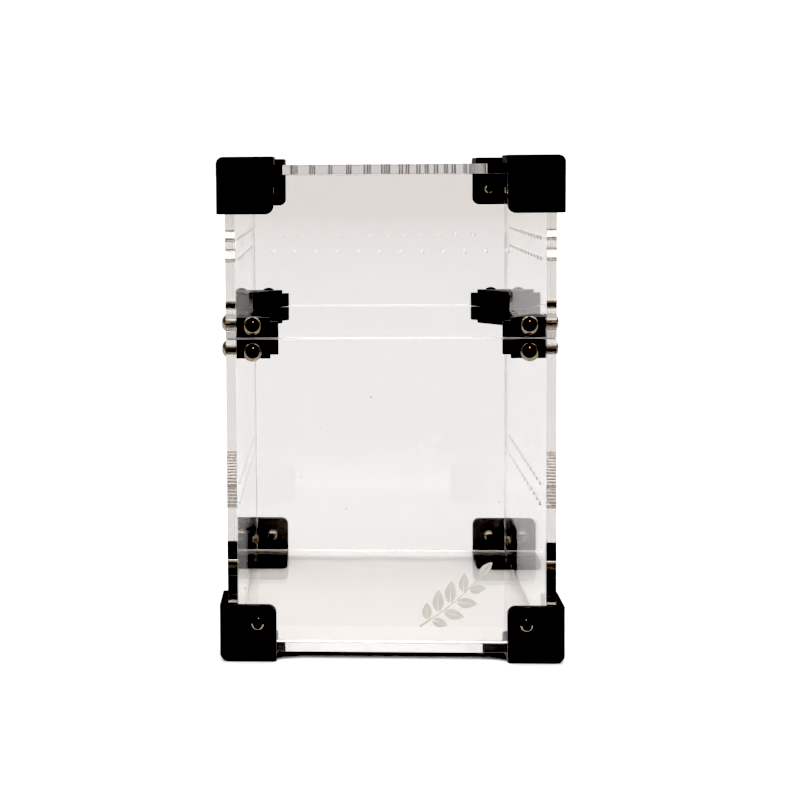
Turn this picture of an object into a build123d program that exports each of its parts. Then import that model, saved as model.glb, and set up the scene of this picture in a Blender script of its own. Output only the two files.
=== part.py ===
from build123d import *
from math import hypot, sqrt
import os

# Clear insect enclosure: a deep lower section and a shallow lid section, both of flat clear
# panels held at their corners by black three-way brackets. Four pairs of corner blocks with
# small disc magnets hold the lid on. Millimetres, +Z up, front towards -Y.
# Origin: centre of the footprint, on the surface that the lower brackets stand on.

# Clear panels
footprint = 100.0
panel_t = 3.0
lower_wall_h = 93.2
upper_wall_h = 49.6
edge_break = 0.05

# Gaps
fit_gap = 0.05
rest_gap = 0.4

# Corner brackets: reach from the panels' outer faces, and thickness outside them
bracket_t = 2.5
bracket_leg = 14.8
free_corner_r = 2.4
outer_edge_r = 2.2
rim_break = 0.3
bracket_screw_inset = 9.1

# Magnet blocks: a full-height body on a lower, wider foot at the split
block_leg = 10.3
block_h = 6.0
foot_leg = 12.8
foot_h = 4.8
block_end = 1.4
block_screw_inset = 8.1
block_screw_rise = 4.0
pilot_end_gap = 0.25

# Disc magnets
magnet_r = 1.5
magnet_h = 2.0
magnet_break = 0.15

# M3 button-head screws
screw_r = 1.5
thread_pitch = 0.5
thread_depth = 0.28
thread_start = 0.45
tip_break = 0.4
head_r = 2.85
head_h = 1.65
head_side_h = 0.25
head_crown_r = 1.3
socket_flats = 2.0
socket_depth = 1.05
bracket_screw_len = 5.0
block_screw_len = 6.0
hole_gap = 0.1
head_gap = 0.3
counterbore_depth = 1.7
turn_step = 23.0

# Air holes
vent_r = 0.75
wall_vent_pitch = 6.4
wall_vent_count = 12
lower_vent_height = 43.0
upper_vent_height = 26.4
side_row_pitch = 6.4
lid_vent_pitch = 6.0
lid_vent_count = 11

# Levels from the ground up
half = footprint / 2
inner = half - panel_t
floor_low = bracket_t + fit_gap
floor_top = floor_low + panel_t
lower_wall_low = floor_top + fit_gap
lower_wall_top = lower_wall_low + lower_wall_h
upper_wall_low = lower_wall_top + rest_gap
upper_wall_top = upper_wall_low + upper_wall_h
roof_low = upper_wall_top + fit_gap
roof_top = roof_low + panel_t
overall_h = roof_top + fit_gap + bracket_t
split = (lower_wall_top + upper_wall_low) / 2

# Screw levels, lower section first
bracket_screw_z = {"lower": floor_low + bracket_screw_inset, "upper": roof_top - bracket_screw_inset}
block_screw_z = {"lower": split - block_screw_rise, "upper": split + block_screw_rise}

# Dome of a screw head: part of a ball centred on the screw's axis, from the rim to the flat crown
dome_centre = (head_h**2 - head_side_h**2 + head_crown_r**2 - head_r**2) / (2 * (head_h - head_side_h))
dome_r = hypot(head_r, head_side_h - dome_centre)

# Sizes that follow from the panels
cross_wall_w = 2 * (inner - fit_gap)
bracket_face = half + fit_gap + bracket_t
bracket_size = bracket_leg + fit_gap + bracket_t
block_corner = inner - fit_gap
wall_hole_r = screw_r + hole_gap
head_seat = half + fit_gap
bracket_seat = bracket_face - counterbore_depth + fit_gap

depth_names = {-1: "front", 1: "back"}
side_names = {-1: "left", 1: "right"}
corners = [(sx, sy) for sy in (-1, 1) for sx in (-1, 1)]

os.makedirs("parts", exist_ok=True)


def keep(piece, name):
    """Labels a finished piece and writes it under its own name."""
    piece.label = name
    export_step(piece, f"parts/{name}.step")


def facing_y(sy, x, y, z):
    """A plane whose normal points out of the front or back, with its own y axis up."""
    return Plane(origin=(x, y, z), x_dir=(-sy, 0, 0), z_dir=(0, sy, 0))


def facing_x(sx, x, y, z):
    """A plane whose normal points out of the left or right, with its own y axis up."""
    return Plane(origin=(x, y, z), x_dir=(0, sx, 0), z_dir=(sx, 0, 0))


def clear_panel(name, plane, width, height, drilled):
    """A flat panel behind its outer face, with holes given as groups of points and a radius."""
    with BuildPart() as panel:
        with BuildSketch(plane):
            Rectangle(width, height)
        extrude(amount=-panel_t)
        chamfer(panel.edges(), length=edge_break)
        for points, radius in drilled:
            with BuildSketch(plane):
                with Locations(*points):
                    Circle(radius)
            extrude(amount=-panel_t, mode=Mode.SUBTRACT)
    keep(panel.part, name)


def row_of_vents(height):
    """Air holes in one straight row, at a height from the middle of a wall."""
    first = -(wall_vent_count - 1) / 2 * wall_vent_pitch
    return [(first + n * wall_vent_pitch, height) for n in range(wall_vent_count)]


def ring_of_vents():
    """Air holes along the four sides of a square in the roof."""
    steps = range(lid_vent_count)
    first = -(lid_vent_count - 1) / 2 * lid_vent_pitch
    ends = (steps[0], steps[-1])
    on_ring = [(i, j) for i in steps for j in steps if i in ends or j in ends]
    return [(first + i * lid_vent_pitch, first + j * lid_vent_pitch) for i, j in on_ring]


def screw_points(level, mid):
    """Screw holes of one wall from its middle: two for brackets and two for blocks."""
    points = []
    for s in (-1, 1):
        points.append((s * (half - bracket_screw_inset), bracket_screw_z[level] - mid))
        points.append((s * (half - block_screw_inset), block_screw_z[level] - mid))
    return points


def four_walls(level, low, height, cross_rows, side_rows):
    """The walls of one section. Side walls run the full depth and the others fit between."""
    mid = low + height / 2
    screw_holes = (screw_points(level, mid), wall_hole_r)
    for s in (-1, 1):
        cross_drilled = [screw_holes] + [(row_of_vents(z - mid), vent_r) for z in cross_rows]
        cross_plane = facing_y(s, 0, s * half, mid)
        clear_panel(f"{level}_{depth_names[s]}_wall", cross_plane, cross_wall_w, height, cross_drilled)
        side_drilled = [screw_holes] + [(row_of_vents(z - mid), vent_r) for z in side_rows]
        side_plane = facing_x(s, s * half, 0, mid)
        clear_panel(f"{level}_{side_names[s]}_wall", side_plane, footprint, height, side_drilled)


def on_rim(edge, tip):
    """True on the closed line where a bracket's outer skin meets the free ends of its plates."""
    away = [abs(d) for d in edge.center() - tip]
    return min(away) < outer_edge_r / 2 and max(away) > bracket_size - free_corner_r / 2


def corner_bracket(name, sx, sy, sz):
    """Three square plates that meet at a corner of the box and cap its panels from outside."""
    tip = Vector(sx * bracket_face, sy * bracket_face, 0 if sz < 0 else overall_h)
    inward = Vector(-sx, -sy, -sz)
    screw_z = bracket_screw_z["lower"] if sz < 0 else bracket_screw_z["upper"]
    screw_at = half - bracket_screw_inset
    front_face = facing_y(sy, sx * screw_at, sy * bracket_face, screw_z)
    side_face = facing_x(sx, sx * bracket_face, sy * screw_at, screw_z)
    with BuildPart() as bracket:
        with Locations(tip + inward * (bracket_size / 2)):
            Box(bracket_size, bracket_size, bracket_size)
        lines = [bracket.edges().filter_by(axis).sort_by_distance(tip) for axis in (Axis.X, Axis.Y, Axis.Z)]
        fillet([line[-1] for line in lines], radius=free_corner_r)
        lines = [bracket.edges().filter_by(axis).sort_by_distance(tip) for axis in (Axis.X, Axis.Y, Axis.Z)]
        fillet([line[0] for line in lines], radius=outer_edge_r)
        fillet(bracket.edges().filter_by(lambda edge: on_rim(edge, tip)), radius=rim_break)
        with Locations(tip + inward * (bracket_t + bracket_size / 2)):
            Box(bracket_size, bracket_size, bracket_size, mode=Mode.SUBTRACT)
        with Locations(front_face, side_face):
            CounterBoreHole(wall_hole_r, head_r + head_gap, counterbore_depth)
    keep(bracket.part, name)


def block_outline(leg):
    """A corner block in plan: two legs along the walls, joined by a diagonal inner face."""
    Polyline((0, 0), (leg, 0), (leg, block_end), (block_end, leg), (0, leg), close=True)


def magnet_block(name, sx, sy, sz):
    """A corner block against two walls, with its magnet pocket in the face at the split."""
    face_z = lower_wall_top if sz < 0 else upper_wall_low
    screw_z = block_screw_z["lower"] if sz < 0 else block_screw_z["upper"]
    origin = (sx * block_corner, sy * block_corner, face_z)
    plan = Plane(origin=origin, x_dir=(-sx, 0, 0), z_dir=(0, 0, sx * sy))
    away = sz * sx * sy
    axis_at = block_corner - (half - block_screw_inset)
    front_face = facing_y(sy, sx * (half - block_screw_inset), sy * block_corner, screw_z)
    side_face = facing_x(sx, sx * block_corner, sy * (half - block_screw_inset), screw_z)
    pilot_depth = block_screw_len - (head_seat - block_corner) + pilot_end_gap
    pocket_depth = magnet_h - rest_gap / 2 + fit_gap
    with BuildPart() as block:
        for leg, height in ((foot_leg, foot_h), (block_leg, block_h)):
            with BuildSketch(plan):
                with BuildLine():
                    block_outline(leg)
                make_face()
            extrude(amount=away * height)
        with BuildSketch(plan):
            with Locations((axis_at, axis_at)):
                Circle(magnet_r + fit_gap)
        extrude(amount=away * pocket_depth, mode=Mode.SUBTRACT)
        with Locations(front_face, side_face):
            Hole(screw_r + fit_gap, pilot_depth)
    keep(block.part, name)


def disc_magnet(name, sx, sy, sz):
    """A disc magnet that stands proud of its block and meets its partner at the split."""
    axis_at = half - block_screw_inset
    with BuildPart() as magnet:
        with BuildSketch(Plane(origin=(sx * axis_at, sy * axis_at, split))):
            Circle(magnet_r)
        extrude(amount=sz * magnet_h)
        fillet(magnet.edges(), radius=magnet_break)
    keep(magnet.part, name)


def screw_outline(length):
    """Half a screw's section: domed head above its seat, ringed thread and tip below it."""
    thread_end = length - tip_break
    turns = int((thread_end - thread_start) / thread_pitch)
    rim = (head_r, head_side_h)
    crown = (head_crown_r, head_h)
    dome_mid_r = (head_r + head_crown_r) / 2
    dome_mid = (dome_mid_r, dome_centre + sqrt(dome_r**2 - dome_mid_r**2))
    shank = [(0, head_h), (0, -length), (screw_r - tip_break, -length), (screw_r, -thread_end)]
    for n in range(turns):
        ridge = -thread_end + n * thread_pitch
        shank.append((screw_r - thread_depth, ridge + thread_pitch / 2))
        shank.append((screw_r, ridge + thread_pitch))
    Polyline((screw_r, 0), (head_r, 0), rim)
    ThreePointArc(rim, dome_mid, crown)
    Polyline(crown, *shank, (screw_r, 0))


def screw_group(name, length, seat, inset, z):
    """Eight equal screws: one out of each outer face at each corner, every one turned."""
    with BuildPart() as screw:
        with BuildSketch(Plane.XZ):
            with BuildLine():
                screw_outline(length)
            make_face()
        revolve(axis=Axis.Z)
        with BuildSketch(Plane.XY.offset(head_h)):
            RegularPolygon(socket_flats / 2, 6, major_radius=False)
        extrude(amount=-socket_depth, mode=Mode.SUBTRACT)
    places = []
    for sx, sy in corners:
        places.append(facing_y(sy, sx * (half - inset), sy * seat, z))
        places.append(facing_x(sx, sx * seat, sy * (half - inset), z))
    with BuildPart() as group:
        for n, place in enumerate(places):
            with Locations(place):
                add(screw.part, rotation=(0, 0, n * turn_step))
    keep(group.part, name)


# Floor and roof
clear_panel("floor_panel", Plane.XY.offset(floor_top), footprint, footprint, [])
clear_panel("roof_panel", Plane.XY.offset(roof_top), footprint, footprint, [(ring_of_vents(), vent_r)])

# Walls
lower_rows = [lower_wall_low + lower_vent_height + s * side_row_pitch / 2 for s in (-1, 1)]
upper_rows = [upper_wall_low + upper_vent_height + s * side_row_pitch / 2 for s in (-1, 1)]
four_walls("lower", lower_wall_low, lower_wall_h, [], lower_rows)
four_walls("upper", upper_wall_low, upper_wall_h, [upper_wall_low + upper_vent_height], upper_rows)

# Corner hardware
for sx, sy in corners:
    corner = f"{depth_names[sy]}_{side_names[sx]}"
    for sz, level, end in ((-1, "lower", "bottom"), (1, "upper", "top")):
        corner_bracket(f"{end}_{corner}_bracket", sx, sy, sz)
        magnet_block(f"{level}_{corner}_magnet_block", sx, sy, sz)
        disc_magnet(f"{level}_{corner}_magnet", sx, sy, sz)

# Screws
for level in ("lower", "upper"):
    at_brackets = (bracket_screw_len, bracket_seat, bracket_screw_inset, bracket_screw_z[level])
    screw_group(f"{level}_bracket_screws", *at_brackets)
    at_blocks = (block_screw_len, head_seat, block_screw_inset, block_screw_z[level])
    screw_group(f"{level}_block_screws", *at_blocks)
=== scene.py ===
import math
import random

import bmesh
import bpy
from mathutils import Matrix, Vector


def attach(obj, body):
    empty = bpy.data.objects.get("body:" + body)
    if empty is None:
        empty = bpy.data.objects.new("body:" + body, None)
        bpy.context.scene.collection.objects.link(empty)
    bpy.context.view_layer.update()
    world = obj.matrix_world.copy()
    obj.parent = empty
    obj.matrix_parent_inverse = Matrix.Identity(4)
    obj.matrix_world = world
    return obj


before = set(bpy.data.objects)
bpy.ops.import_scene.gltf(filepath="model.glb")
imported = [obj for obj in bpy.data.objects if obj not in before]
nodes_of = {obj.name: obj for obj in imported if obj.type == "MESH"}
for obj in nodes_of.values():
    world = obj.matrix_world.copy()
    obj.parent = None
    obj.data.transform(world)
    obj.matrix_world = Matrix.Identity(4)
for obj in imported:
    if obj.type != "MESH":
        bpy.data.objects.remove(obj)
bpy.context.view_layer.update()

# Clear insect enclosure. Everything is in metres in the CAD part's own frame: +Z up, front towards -Y.

MM = 0.001
WHITE = (1.0, 1.0, 1.0)
BLACK = (0.0, 0.0, 0.0)
scene = bpy.context.scene


def outer_face(name):
    """Y of the outer face of a wall that looks towards -Y."""
    wall = nodes_of[name]
    return min((wall.matrix_world @ Vector(corner)).y for corner in wall.bound_box)


FRONT = outer_face("lower_front_wall")

# Camera: the photograph's own place, turn and lens, found by fitting the box's corners
IMAGE = 800
SENSOR = 36.0
FOCAL_PX = 1301.62
CENTRE_PX = (285.05, 228.91)
CAMERA_AT = Vector((-16.55, -443.32, 149.99)) * MM
YAW, PITCH, ROLL = -0.03855, 0.04437, -0.00699
CLIP = (0.01, 60.0)


def make_camera():
    """A camera with the photograph's perspective, framed by a shift of the lens."""
    ahead = Vector((math.sin(YAW) * math.cos(PITCH), math.cos(YAW) * math.cos(PITCH), -math.sin(PITCH)))
    level = Vector((math.cos(YAW), -math.sin(YAW), 0))
    above = level.cross(ahead)
    right = level * math.cos(ROLL) + above * math.sin(ROLL)
    up = above * math.cos(ROLL) - level * math.sin(ROLL)
    data = bpy.data.cameras.new("photo_camera")
    data.sensor_width = SENSOR
    data.lens = FOCAL_PX * SENSOR / IMAGE
    data.shift_x = (IMAGE / 2 - CENTRE_PX[0]) / IMAGE
    data.shift_y = (CENTRE_PX[1] - IMAGE / 2) / IMAGE
    data.clip_start, data.clip_end = CLIP
    camera = bpy.data.objects.new("photo_camera", data)
    turn = Matrix((right, up, -ahead)).transposed()
    camera.matrix_world = Matrix.Translation(CAMERA_AT) @ turn.to_4x4()
    scene.collection.objects.link(camera)
    scene.camera = camera


class Shader:
    """A material's node tree with short calls for the nodes that the finishes share."""

    def __init__(self, name, base, roughness, metallic=0.0):
        self.material = bpy.data.materials.new(name)
        self.material.use_nodes = True
        self.tree = self.material.node_tree
        self.bsdf = self.tree.nodes["Principled BSDF"]
        self.output = self.tree.nodes["Material Output"]
        self.bsdf.inputs["Base Color"].default_value = (*base, 1)
        self.bsdf.inputs["Roughness"].default_value = roughness
        self.bsdf.inputs["Metallic"].default_value = metallic
        self.coords = self.tree.nodes.new("ShaderNodeTexCoord").outputs["Object"]

    def node(self, kind, **inputs):
        """Adds a node and sets or links its inputs by name, with _ for a blank."""
        made = self.tree.nodes.new(kind)
        for key, value in inputs.items():
            self.put(made.inputs[key.replace("_", " ")], value)
        return made

    def put(self, socket, value):
        """Links an output to a socket, or sets its value."""
        if isinstance(value, bpy.types.NodeSocket):
            self.tree.links.new(value, socket)
        else:
            socket.default_value = value

    def set(self, **inputs):
        """Sets or links inputs of the finish itself."""
        for key, value in inputs.items():
            self.put(self.bsdf.inputs[key.replace("_", " ")], value)

    def stretched(self, scale, turn=(0, 0, 0)):
        """Object coordinates turned and then stretched, for streaks."""
        made = self.node("ShaderNodeMapping", Vector=self.coords, Scale=scale, Rotation=turn)
        return made.outputs["Vector"]

    def noise(self, scale, detail=2.0, roughness=0.5, vector=None):
        """Noise from 0 to 1 whose lumps are about 1/scale metres."""
        made = self.node("ShaderNodeTexNoise", Scale=scale, Detail=detail, Roughness=roughness)
        self.put(made.inputs["Vector"], vector or self.coords)
        return made.outputs["Fac"]

    def cells(self, scale):
        """Cells about 1/scale metres across: distance and a random colour for each."""
        return self.node("ShaderNodeTexVoronoi", Vector=self.coords, Scale=scale).outputs

    def remap(self, value, low, high, to_low, to_high):
        """Value from low..high to to_low..to_high, held at both ends."""
        made = self.tree.nodes.new("ShaderNodeMapRange")
        for socket, number in zip(made.inputs, (value, low, high, to_low, to_high)):
            self.put(socket, number)
        return made.outputs[0]

    def math(self, operation, a, b=0.0):
        made = self.tree.nodes.new("ShaderNodeMath")
        made.operation = operation
        self.put(made.inputs[0], a)
        self.put(made.inputs[1], b)
        return made.outputs[0]

    def dot(self, a, b):
        made = self.tree.nodes.new("ShaderNodeVectorMath")
        made.operation = "DOT_PRODUCT"
        self.put(made.inputs[0], a)
        self.put(made.inputs[1], b)
        return made.outputs["Value"]

    def mix(self, amount, a, b):
        """Colour a where amount is 0 and b where it is 1."""
        made = self.tree.nodes.new("ShaderNodeMix")
        made.data_type = "RGBA"
        self.put(made.inputs[0], amount)
        for socket, colour in ((made.inputs[6], a), (made.inputs[7], b)):
            self.put(socket, colour if isinstance(colour, bpy.types.NodeSocket) else (*colour, 1))
        return made.outputs[2]

    def bump(self, height, depth, strength=1.0):
        """Relief whose full height is depth in metres."""
        made = self.node("ShaderNodeBump", Height=height, Distance=depth, Strength=strength)
        self.put(self.bsdf.inputs["Normal"], made.outputs["Normal"])

    def facing(self):
        """The true normal, and the size of its part along each axis."""
        normal = self.node("ShaderNodeNewGeometry").outputs["True Normal"]
        parts = self.node("ShaderNodeSeparateXYZ", Vector=normal).outputs
        return normal, {axis: self.math("ABSOLUTE", parts[axis]) for axis in "XYZ"}


# A face is square to an axis where this much of its normal lies along it
SQUARE_ON = 0.99

# Clear cast sheet
SHEET_IOR = 1.49
SHEET_TINTS = ((0.994, 0.986, 0.979), (0.988, 0.981, 0.975))
SMEAR_SCALE = 28
SMEAR_ROUGHNESS = 0.012
SCRATCH_ROUGHNESS = 0.12
# Turn and stretch of the two sets of hairline scratches, which lie in patches
SCRATCH_SETS = (((0.3, 0.2, 0.5), (900, 900, 12)), ((1.1, 0.7, 0.2), (14, 1100, 1000)))
PATCH_SCALE = 60
SCRATCH_DEPTH = -0.05
WAVE_SCALE = 22
SHEET_WAVE = 0.02 * MM
# Specks of dust: cells to the metre, their size within a cell and the share of cells without one
SPECK_CELLS = 260
SPECK_EDGE = (0.03, 0.05)
SPECK_CUT = 0.93
SPECK_TONE = (0.32, 0.31, 0.3)
TINT_SCALE = 9
# Drilled holes are duller than the polished faces, and their walls get a darker tint, which is
# painted shade. Their walls lie along the hole and slant to both other axes.
ALONG_HOLE = 0.1
SLANTED = 0.985
BORE_ROUGHNESS = 0.3
BORE_PAINTED_SHADE = (0.55, 0.53, 0.51)
# Light that the sheet takes up along its length, which tints the cut edges
SMOKE = (0.51, 0.47, 0.41)
SMOKE_DENSITY = {"X": 4.2, "Y": 0.5, "Z": 0.7}
# Upper and lower cut faces of the front and back walls keep a trace of the saw
CUT_ROUGHNESS = 0.6


def acrylic(name, across):
    """Clear cast sheet: a faint smoky tint, handling smears, hairline scratches and specks of dust.
    Its holes run along the axis called across."""
    s = Shader(name, SHEET_TINTS[0], 0.0)
    s.set(Transmission_Weight=1.0, IOR=SHEET_IOR)
    smears = s.remap(s.noise(SMEAR_SCALE, 3), 0.45, 0.8, 0.0, SMEAR_ROUGHNESS)
    streaks = []
    for turn, scale in SCRATCH_SETS:
        fine = s.noise(1.0, 1, vector=s.stretched(scale, turn))
        patch = s.remap(s.noise(PATCH_SCALE, 1), 0.52, 0.62, 0, 1)
        streaks.append(s.math("MULTIPLY", s.remap(fine, 0.76, 0.8, 0, 1), patch))
    scratches = s.math("MAXIMUM", *streaks)
    rough = s.math("ADD", smears, s.math("MULTIPLY", scratches, SCRATCH_ROUGHNESS))
    steep = s.facing()[1]
    upright = steep["Z"]
    along_hole = s.math("LESS_THAN", steep.pop(across), ALONG_HOLE)
    slanted = s.math("LESS_THAN", s.math("MAXIMUM", *steep.values()), SLANTED)
    bored = s.math("MULTIPLY", along_hole, slanted)
    rough = s.math("ADD", rough, s.math("MULTIPLY", bored, BORE_ROUGHNESS))
    if across == "Y":
        sawn = s.math("GREATER_THAN", upright, SQUARE_ON)
        rough = s.math("ADD", rough, s.math("MULTIPLY", sawn, CUT_ROUGHNESS))
    s.set(Roughness=rough)
    dust = s.cells(SPECK_CELLS)
    near = s.remap(dust["Distance"], *SPECK_EDGE, 1, 0)
    chance = s.node("ShaderNodeSeparateColor", Color=dust["Color"]).outputs["Red"]
    specks = s.math("MULTIPLY", near, s.math("GREATER_THAN", chance, SPECK_CUT))
    tint = s.mix(s.remap(s.noise(TINT_SCALE, 1), 0.3, 0.7, 0, 1), *SHEET_TINTS)
    # Base colour: specks of dust, and painted shade on the walls of the drilled holes
    s.set(Base_Color=s.mix(specks, s.mix(bored, tint, BORE_PAINTED_SHADE), SPECK_TONE))
    relief = s.math("ADD", s.noise(WAVE_SCALE, 1), s.math("MULTIPLY", scratches, SCRATCH_DEPTH))
    s.bump(relief, SHEET_WAVE)
    smoke = s.node("ShaderNodeVolumeAbsorption", Color=(*SMOKE, 1), Density=SMOKE_DENSITY[across])
    s.put(s.output.inputs["Volume"], smoke.outputs["Volume"])
    return s.material


PLASTIC_TONES = ((0.004, 0.004, 0.0045), (0.008, 0.008, 0.0085))
PLASTIC_RUBBED = (0.03, 0.03, 0.032)
PLASTIC_SPECULAR = 0.15
PLASTIC_GRAIN = 0.02 * MM


def black_plastic():
    """Moulded black plastic with a fine satin grain, faint flow streaks and rubbed edges."""
    s = Shader("black_satin_plastic", PLASTIC_TONES[0], 0.5)
    grain = s.noise(5200, 2, 0.6)
    flow = s.noise(1.0, 3, vector=s.stretched((60, 60, 260)))
    edges = s.remap(s.node("ShaderNodeNewGeometry").outputs["Pointiness"], 0.53, 0.6, 0, 1)
    rubbed = s.math("MULTIPLY", edges, s.remap(s.noise(700, 3), 0.4, 0.65, 0, 1))
    base = s.mix(s.remap(flow, 0.3, 0.7, 0, 1), *PLASTIC_TONES)
    s.set(Base_Color=s.mix(rubbed, base, PLASTIC_RUBBED), Specular_IOR_Level=PLASTIC_SPECULAR)
    rough = s.remap(grain, 0.3, 0.7, 0.4, 0.56)
    s.set(Roughness=s.math("SUBTRACT", rough, s.math("MULTIPLY", rubbed, 0.1)))
    s.bump(s.math("ADD", grain, s.math("MULTIPLY", flow, 0.3)), PLASTIC_GRAIN, 0.7)
    return s.material


BRONZE_TONES = ((0.26, 0.22, 0.17), (0.38, 0.33, 0.26))
BRONZE_RUBBED = (0.55, 0.5, 0.43)
CUT_END_PAINTED_SHADE = (0.07, 0.062, 0.052)
BRONZE_GRAIN = 0.005 * MM


def bronzed_steel():
    """Bronzed screw steel: olive brown oxide, paler where it is rubbed, with fine turning marks.
    The cut ends, which point into the box, are painted near black as painted shade."""
    s = Shader("bronzed_screw_steel", BRONZE_TONES[1], 0.12, 1.0)
    cloud = s.noise(900, 4, 0.6)
    fine = s.noise(9000, 2)
    edges = s.remap(s.node("ShaderNodeNewGeometry").outputs["Pointiness"], 0.52, 0.6, 0, 1)
    brown = s.mix(s.remap(cloud, 0.35, 0.65, 0, 1), *BRONZE_TONES)
    brown = s.mix(s.math("MULTIPLY", edges, 0.6), brown, BRONZE_RUBBED)
    normal, steep = s.facing()
    flat = s.math("GREATER_THAN", s.math("MAXIMUM", steep["X"], steep["Y"]), SQUARE_ON)
    inward = s.math("LESS_THAN", s.dot(s.coords, normal), 0.0)
    # Painted shade: the flat cut ends that face into the box are near black
    s.set(Base_Color=s.mix(s.math("MULTIPLY", flat, inward), brown, CUT_END_PAINTED_SHADE))
    s.set(Roughness=s.remap(s.math("ADD", cloud, s.math("MULTIPLY", fine, 0.5)), 0.4, 1.1, 0.06, 0.2))
    s.bump(fine, BRONZE_GRAIN, 0.6)
    return s.material


NICKEL_TONES = ((0.62, 0.6, 0.57), (0.78, 0.76, 0.73))
NICKEL_GRAIN = 0.004 * MM


def nickel():
    """Bright nickel on the disc magnets, with hairline marks and a duller haze."""
    s = Shader("magnet_nickel", NICKEL_TONES[0], 0.2, 1.0)
    haze = s.noise(1500, 3)
    hair = s.noise(1.0, 1, vector=s.stretched((4000, 300, 4000), (0, 0, 0.6)))
    s.set(Base_Color=s.mix(haze, *NICKEL_TONES))
    s.set(Roughness=s.remap(s.math("ADD", haze, s.math("MULTIPLY", hair, 0.5)), 0.5, 1.0, 0.14, 0.34))
    s.bump(hair, NICKEL_GRAIN, 0.5)
    return s.material


FROST_TONES = ((0.55, 0.53, 0.48), (0.72, 0.7, 0.65))
FROST_GRAIN = 0.02 * MM


def frosted():
    """The matt white of an engraved acrylic face, broken up by its fine burr."""
    s = Shader("engraved_frost", FROST_TONES[1], 0.75)
    grit = s.noise(6500, 2, 0.7)
    s.set(Base_Color=s.mix(grit, *FROST_TONES))
    s.set(Roughness=s.remap(grit, 0.3, 0.7, 0.6, 0.85))
    s.bump(grit, FROST_GRAIN, 0.8)
    return s.material


LINT_TONES = ((0.05, 0.05, 0.045), (0.22, 0.21, 0.2))
LINT_GRAIN = 0.03 * MM


def lint():
    """Dull grey dust and lint."""
    s = Shader("dust_lint", LINT_TONES[1], 0.9)
    s.set(Base_Color=s.mix(s.noise(5000, 2), *LINT_TONES))
    s.bump(s.noise(9000, 2), LINT_GRAIN)
    return s.material


def dress_nodes():
    """Gives each CAD node the worked finish of its material slot. Clear panels differ by the way
    their holes run."""
    sheets = {across: acrylic(f"clear_acrylic_{across.lower()}", across) for across in "XYZ"}
    finishes = {
        "black_plastic": black_plastic(),
        "bronzed_steel": bronzed_steel(),
        "nickel_plate": nickel(),
    }
    for name, node in nodes_of.items():
        if name.endswith("_panel"):
            sheet = sheets["Z"]
        else:
            sheet = sheets["X" if "left" in name or "right" in name else "Y"]
        for slot in node.material_slots:
            kind = slot.material.name.split(".")[0]
            slot.material = sheet if kind == "clear_acrylic" else finishes[kind]


def mesh_object(name, bm, material):
    """A new object from mesh data in the part's frame."""
    mesh = bpy.data.meshes.new(name)
    bmesh.ops.recalc_face_normals(bm, faces=bm.faces)
    bm.to_mesh(mesh)
    bm.free()
    mesh.materials.append(material)
    made = bpy.data.objects.new(name, mesh)
    scene.collection.objects.link(made)
    return made


# Generic frosted sprig on the lower front wall, in millimetres across the wall and up
ENGRAVED_NEAR = FRONT - 0.05 * MM
ENGRAVED_FAR = FRONT - 0.01 * MM
STEM = ((8.6, 10.6), (13.5, 14.2), (19.5, 17.2), (27.2, 26.6))
STEM_STEPS = 28
STEM_W = 0.55
# Width at the foot and how much of it is gone at the tip
STEM_FOOT, STEM_TAPER = 1.15, 0.75
VEIN_GAP = 0.32
LEAF_STEPS = 14
LEAF_REACH = (0.03, 0.97)
LEAF_BOW = 0.5
LEAF_RIM = 0.02
# Along the stem, side, length and width of each leaf, and how far it turns from the stem
LEAVES = (
    (0.16, 1, 5.4, 2.7, 62),
    (0.22, -1, 5.0, 2.6, 60),
    (0.36, 1, 7.0, 3.2, 58),
    (0.43, -1, 6.3, 3.0, 56),
    (0.56, 1, 7.2, 3.2, 52),
    (0.63, -1, 6.4, 3.0, 50),
    (0.76, 1, 6.0, 2.8, 46),
    (0.82, -1, 5.2, 2.6, 44),
    (0.98, 1, 5.6, 2.5, 4),
)


def on_stem(t):
    """Point and direction on the stem's curve."""
    a, b, c, d = (Vector(p) for p in STEM)
    u = 1 - t
    point = a * u**3 + b * 3 * u * u * t + c * 3 * u * t * t + d * t**3
    along = (b - a) * 3 * u * u + (c - b) * 6 * u * t + (d - c) * 3 * t * t
    return point, along.normalized()


def ribbon(bm, one_side, other_side):
    """A thin closed plate between two lines of points on the wall."""
    layers = []
    for y in (ENGRAVED_NEAR, ENGRAVED_FAR):
        rows = [[bm.verts.new((x * MM, y, z * MM)) for x, z in line] for line in (one_side, other_side)]
        layers.append(rows)
    (a, b), (c, d) = layers
    for n in range(len(a) - 1):
        bm.faces.new((a[n], a[n + 1], b[n + 1], b[n]))
        bm.faces.new((c[n], d[n], d[n + 1], c[n + 1]))
        bm.faces.new((a[n], c[n], c[n + 1], a[n + 1]))
        bm.faces.new((b[n], b[n + 1], d[n + 1], d[n]))
    for n in (0, -1):
        bm.faces.new((a[n], b[n], d[n], c[n]))


def stem(bm):
    left, right = [], []
    for n in range(STEM_STEPS + 1):
        t = n / STEM_STEPS
        point, along = on_stem(t)
        across = Vector((-along.y, along.x)) * STEM_W / 2 * (STEM_FOOT - STEM_TAPER * t)
        left.append(point + across)
        right.append(point - across)
    ribbon(bm, left, right)


def leaf(bm, t, side, length, width, turn):
    """One leaf in two halves, with a clear vein between them."""
    base, along = on_stem(t)
    out = Matrix.Rotation(math.radians(turn) * side, 2) @ along
    across = Vector((-out.y, out.x))
    start = base + out * (STEM_W * 0.9)
    low, high = LEAF_REACH
    for half in (-1, 1):
        vein, edge = [], []
        for n in range(LEAF_STEPS + 1):
            u = low + (high - low) * n / LEAF_STEPS
            bow = across * (side * -LEAF_BOW * u * u)
            swell = math.sin(math.pi * u**0.85) ** 0.9
            vein.append(start + out * (u * length) + bow + across * (half * VEIN_GAP / 2 * (1 - u)))
            edge.append(vein[-1] + across * (half * (width / 2 * swell + LEAF_RIM)))
        ribbon(bm, vein, edge)


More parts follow.
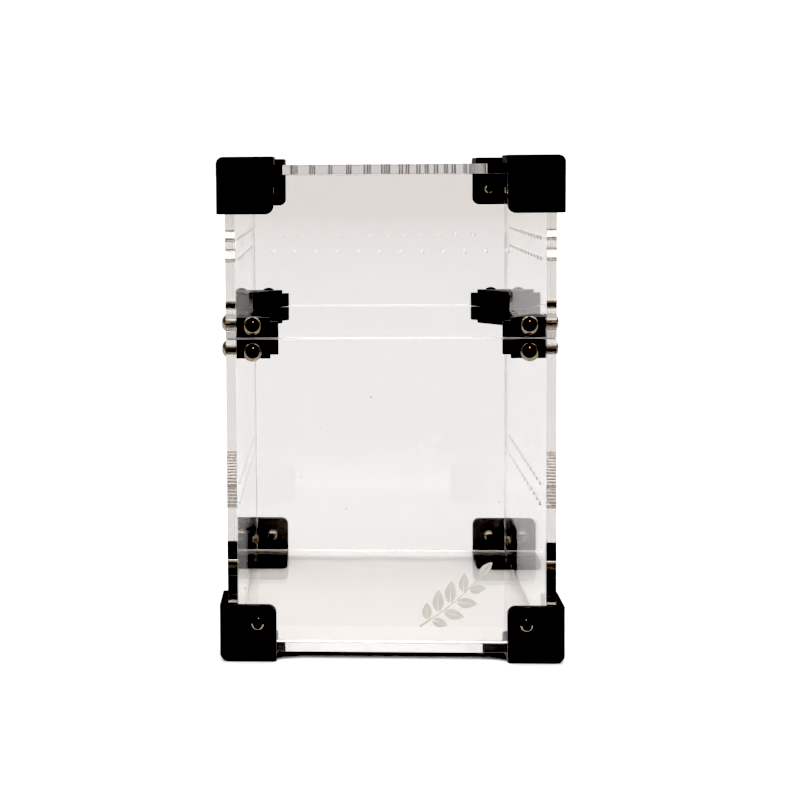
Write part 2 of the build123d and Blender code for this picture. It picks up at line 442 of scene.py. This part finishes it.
def sprig():
    bm = bmesh.new()
    stem(bm)
    for values in LEAVES:
        leaf(bm, *values)
    made = mesh_object("engraved_sprig", bm, frosted())
    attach(made, "lower_section")


# Dust: across, up and size on the front wall's outer face, in millimetres, then more at random
SEEN_DUST = (
    (-5.96, 81.2, 0.46),
    (-21.5, 71.7, 0.40),
    (-27.4, 56.6, 0.36),
    (32.7, 53.4, 0.36),
    (-13.6, 46.9, 0.42),
    (-44.6, 22.2, 0.42),
    (32.7, 49.1, 0.42),
    (45.05, 48.5, 0.4),
)
# Body, lowest and highest place, the flecks that the photograph shows, and how many more
DUSTY = (
    ("lower_section", 24, 90, SEEN_DUST, 26),
    ("lid_section", 108, 132, (), 8),
)
DUST_ACROSS = 44
DUST_SIZES = (0.08, 0.16)
DUST_SEED = 11
DUST_SIDES = 7
DUST_RAGGED = (0.7, 1.2)
DUST_SQUASH = 0.8
DUST_NEAR = FRONT - 0.04 * MM
DUST_FAR = FRONT - 0.005 * MM


def dust_fleck(bm, draw, x, z, size):
    """One flat ragged fleck that lies on the front wall."""
    near, far = [], []
    for n in range(DUST_SIDES):
        angle = 2 * math.pi * n / DUST_SIDES
        reach = size / 2 * draw.uniform(*DUST_RAGGED)
        px, pz = x + reach * math.cos(angle), z + reach * math.sin(angle) * DUST_SQUASH
        near.append(bm.verts.new((px * MM, DUST_NEAR, pz * MM)))
        far.append(bm.verts.new((px * MM, DUST_FAR, pz * MM)))
    bm.faces.new(near)
    bm.faces.new(far[::-1])
    for n in range(DUST_SIDES):
        m = (n + 1) % DUST_SIDES
        bm.faces.new((near[n], far[n], far[m], near[m]))


def dust():
    draw = random.Random(DUST_SEED)
    material = lint()
    for body, low, high, seen, more in DUSTY:
        bm = bmesh.new()
        for x, z, size in seen:
            dust_fleck(bm, draw, x, z, size)
        for _ in range(more):
            x, z = draw.uniform(-DUST_ACROSS, DUST_ACROSS), draw.uniform(low, high)
            dust_fleck(bm, draw, x, z, draw.uniform(*DUST_SIZES))
        made = mesh_object(f"{body}_dust", bm, material)
        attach(made, body)


# Floor: the sheet in front of the split stays out of reflections, or fades out by the place after
# it where the light also passed glass
FLOOR_REACH = 40.0
FLOOR_SPLIT = -0.08
GONE_BY = -0.17
# Tone towards the camera and behind, and the places between which it dims: the floor in front of
# the rear wall's foot is painted lighter, as painted light.
PAINTED_LIGHT_TONE = 0.81
FLOOR_TONE = 0.76
FLOOR_MOTTLE = 0.015
FLOOR_ROUGHNESS = 0.8
DIM_FROM, DIM_TO = 0.01, 0.034
# Distances from the box between which the floor dims, as painted shade for light that weakens
# with distance, and its painted tone far away
FADE_NEAR, FADE_FAR = 0.7, 4.0
DISTANT_PAINTED_SHADE = (0.67, 0.64, 0.625)
# Light that is added for the lens, near and far
LIFT_NEAR, LIFT_FAR = 0.35, 0.8
# Painted contact shadow, for the lens only: how far the floor looks for pieces above it, and the
# open share from dark to clear
CONTACT_REACH = 8.0 * MM
CONTACT_SAMPLES = 16
CONTACT_DARK, CONTACT_LIGHT = 0.16, 0.38


def floor_finish(name):
    """Matt white that dims a little into the distance as painted shade, where the lens still sees pure
    white. The lens also sees a painted contact shadow under pieces close above the floor, and the
    floor in front of the rear wall's foot is painted lighter.
    """
    s = Shader(name, (FLOOR_TONE,) * 3, FLOOR_ROUGHNESS)
    away = s.node("ShaderNodeVectorMath", Vector=s.coords)
    away.operation = "LENGTH"
    fade = s.remap(away.outputs["Value"], FADE_NEAR, FADE_FAR, 0, 1)
    tones = [(FLOOR_TONE * (1 + side * FLOOR_MOTTLE),) * 3 for side in (-1, 1)]
    paper = s.mix(s.noise(6, 3), *tones)
    depth = s.node("ShaderNodeSeparateXYZ", Vector=s.coords).outputs["Y"]
    # Painted light: the floor towards the camera is lighter than behind the rear wall's foot
    paper = s.mix(s.remap(depth, DIM_FROM, DIM_TO, 0, 1), (PAINTED_LIGHT_TONE,) * 3, paper)
    s.set(Specular_IOR_Level=0.0, Emission_Color=(*WHITE, 1))
    camera_ray = s.tree.nodes.new("ShaderNodeLightPath").outputs["Is Camera Ray"]
    lift = s.math("MULTIPLY", camera_ray, s.remap(fade, 0, 1, LIFT_NEAR, LIFT_FAR))
    # Painted contact shadow: ambient occlusion darkens the colour and the lift that the lens sees
    near_by = s.node("ShaderNodeAmbientOcclusion", Distance=CONTACT_REACH)
    near_by.samples = CONTACT_SAMPLES
    clear_of_painted_shadow = s.remap(near_by.outputs["AO"], CONTACT_DARK, CONTACT_LIGHT, 0, 1)
    shade = s.math("MAXIMUM", clear_of_painted_shadow, s.math("SUBTRACT", 1.0, camera_ray))
    # Base colour with the painted contact shadow and the painted shade far away
    s.set(Base_Color=s.mix(shade, BLACK, s.mix(fade, paper, DISTANT_PAINTED_SHADE)))
    s.set(Emission_Strength=s.math("MULTIPLY", lift, shade))
    return s


def hide_from_reflections(s):
    """Clears a finish for light that a gloss or a glass has turned back on its way. Where that light
    also passed a glass, the finish clears little by little away from the split."""
    ray = s.tree.nodes.new("ShaderNodeLightPath").outputs
    bounces = s.math("ADD", ray["Glossy Depth"], ray["Diffuse Depth"])
    straight = s.math("LESS_THAN", bounces, 0.5)
    depth = s.node("ShaderNodeSeparateXYZ", Vector=s.coords).outputs["Y"]
    within = s.math("MINIMUM", ray["Transmission Depth"], 1.0)
    close = s.math("MULTIPLY", within, s.remap(depth, GONE_BY, FLOOR_SPLIT, 0, 1))
    shown = s.math("MAXIMUM", straight, close)
    both = s.tree.nodes.new("ShaderNodeMixShader")
    s.put(both.inputs[0], s.math("MAXIMUM", shown, ray["Is Diffuse Ray"]))
    s.put(both.inputs[1], s.tree.nodes.new("ShaderNodeBsdfTransparent").outputs[0])
    s.put(both.inputs[2], s.bsdf.outputs[0])
    s.put(s.output.inputs["Surface"], both.outputs[0])


def make_floor():
    """The floor in two sheets. The one nearer the camera is kept out of reflections, as a black
    card would."""
    sheets = (("floor", FLOOR_SPLIT, FLOOR_REACH), ("floor_front", -FLOOR_REACH, FLOOR_SPLIT))
    for name, low, high in sheets:
        finish = floor_finish(f"pale_{name}")
        if name == "floor_front":
            hide_from_reflections(finish)
        bm = bmesh.new()
        outline = ((-FLOOR_REACH, low), (FLOOR_REACH, low), (FLOOR_REACH, high), (-FLOOR_REACH, high))
        bm.faces.new([bm.verts.new((x, y, 0)) for x, y in outline])
        mesh_object(name, bm, finish.material)


# World: brightness of the sweep behind, the room's sides, the ceiling through glass and the dome
# on matt surfaces
WARM = (1.0, 0.96, 0.94)
WHITE_BACKDROP = 1.15
SWEEP_LEVEL = 0.72
ROOM_LEVEL = 0.5
OUTSIDE_SHARE = 0.4
CEILING_LEVEL = 2.2
DOME_LEVEL = 0.76
ZENITH_LEVEL = 2.8
ZENITH_FOCUS = 8.0
# Directions, by their Y or Z, between which the sweep, the room's sides and the ceiling begin
SWEEP_FROM = (0.1, 0.6)
ROOM_FROM = (-0.7, -0.2)
CEILING_FROM = (0.35, 0.7)


def make_world():
    """A bright sweep behind, a grey room and a dark camera side for gloss and glass, darker for
    gloss outside the glass. Matt surfaces are lit by an even dome, the lens sees plain white, and
    a look straight through glass is bright all round."""
    world = bpy.data.worlds.new("studio")
    scene.world = world
    world.use_nodes = True
    world.cycles.sampling_method = "NONE"
    tree = world.node_tree
    tree.nodes.clear()

    def math_node(operation, a, b):
        made = tree.nodes.new("ShaderNodeMath")
        made.operation = operation
        for socket, value in zip(made.inputs, (a, b)):
            if isinstance(value, bpy.types.NodeSocket):
                tree.links.new(value, socket)
            else:
                socket.default_value = value
        return made.outputs[0]

    def ramp(value, limits, top=1.0):
        made = tree.nodes.new("ShaderNodeMapRange")
        made.interpolation_type = "SMOOTHSTEP"
        tree.links.new(value, made.inputs[0])
        made.inputs[1].default_value, made.inputs[2].default_value = limits
        made.inputs[4].default_value = top
        return made.outputs[0]

    way = tree.nodes.new("ShaderNodeTexCoord").outputs["Generated"]
    parts = tree.nodes.new("ShaderNodeSeparateXYZ")
    tree.links.new(way, parts.inputs[0])
    ahead, up = parts.outputs["Y"], parts.outputs["Z"]
    ray = tree.nodes.new("ShaderNodeLightPath").outputs

    low_down = math_node("SUBTRACT", 1.0, ramp(up, CEILING_FROM))
    behind = math_node("MULTIPLY", ramp(ahead, SWEEP_FROM), low_down)
    sweep = math_node("MULTIPLY", behind, SWEEP_LEVEL - ROOM_LEVEL)
    around = math_node("MULTIPLY", ramp(ahead, ROOM_FROM, ROOM_LEVEL), low_down)
    within = math_node("MINIMUM", ray["Transmission Depth"], 1.0)
    share = math_node("ADD", math_node("MULTIPLY", within, 1.0 - OUTSIDE_SHARE), OUTSIDE_SHARE)
    around = math_node("MULTIPLY", around, share)
    ceiling = math_node("MULTIPLY", math_node("SUBTRACT", 1.0, low_down), CEILING_LEVEL)
    through_glass = math_node("MULTIPLY", ceiling, ray["Is Transmission Ray"])
    room = math_node("ADD", math_node("ADD", sweep, around), through_glass)
    straight = math_node("LESS_THAN", ray["Glossy Depth"], 0.5)
    room = math_node("MAXIMUM", room, math_node("MULTIPLY", straight, SWEEP_LEVEL))
    level = math_node("MAXIMUM", room, math_node("MULTIPLY", ray["Is Camera Ray"], WHITE_BACKDROP))

    overhead = math_node("POWER", math_node("MAXIMUM", up, 0.0), ZENITH_FOCUS)
    dome = math_node("ADD", math_node("MULTIPLY", overhead, ZENITH_LEVEL), DOME_LEVEL)
    matt = math_node("GREATER_THAN", ray["Diffuse Depth"], 0.5)
    mirrored = math_node("MULTIPLY", level, math_node("SUBTRACT", 1.0, matt))
    strength = math_node("ADD", mirrored, math_node("MULTIPLY", matt, dome))

    tone = tree.nodes.new("ShaderNodeMix")
    tone.data_type = "RGBA"
    tree.links.new(matt, tone.inputs[0])
    tone.inputs[6].default_value = (*WARM, 1)
    tone.inputs[7].default_value = (*WHITE, 1)
    background = tree.nodes.new("ShaderNodeBackground")
    tree.links.new(tone.outputs[2], background.inputs["Color"])
    tree.links.new(strength, background.inputs["Strength"])
    output = tree.nodes.new("ShaderNodeOutputWorld")
    tree.links.new(background.outputs[0], output.inputs["Surface"])


# Lamps: place, width and brightness
LAMPS_AIM = (0.0, 0.0, 0.08)
SOFTBOX_AT = (0.0, 0.45, 0.9)
SOFTBOX_SIZE = 0.7
SOFTBOX_LEVEL = 1.0
LAMP_AT = (0.05, -0.42, 0.55)
LAMP_SIZE = 0.1
LAMP_LEVEL = 6.0
LAMP_TINT = (1.0, 0.62, 0.42)


def softbox(name, at, size, radiance, tint, lights_matt):
    """A square soft light of an even brightness. Gloss and glass show it in any case."""
    data = bpy.data.lights.new(name, "AREA")
    data.shape = "SQUARE"
    data.size = size
    data.color = tint
    data.energy = radiance * size * size * math.pi
    light = bpy.data.objects.new(name, data)
    light.location = at
    light.rotation_mode = "QUATERNION"
    light.rotation_quaternion = (Vector(LAMPS_AIM) - Vector(at)).to_track_quat("-Z", "Y")
    light.visible_diffuse = lights_matt
    scene.collection.objects.link(light)


# Lens and ray settings: light passes the stacked sheets many times
BLACK_LEVEL = 0.05
GLOSS_BLUR = 0.0
BOUNCES = 128
CLEAR_BOUNCES = 16


def make_studio():
    make_floor()
    make_world()
    softbox("top_softbox", SOFTBOX_AT, SOFTBOX_SIZE, SOFTBOX_LEVEL, WHITE, False)
    softbox("front_lamp", LAMP_AT, LAMP_SIZE, LAMP_LEVEL, LAMP_TINT, True)
    view = scene.view_settings
    view.view_transform = "Standard"
    view.look = "None"
    view.use_curve_mapping = True
    view.curve_mapping.black_level = (BLACK_LEVEL,) * 3
    view.curve_mapping.update()
    scene.cycles.blur_glossy = GLOSS_BLUR
    scene.cycles.max_bounces = BOUNCES
    scene.cycles.transmission_bounces = BOUNCES
    scene.cycles.glossy_bounces = BOUNCES
    scene.cycles.transparent_max_bounces = CLEAR_BOUNCES


make_camera()
make_studio()
dress_nodes()
sprig()
dust()
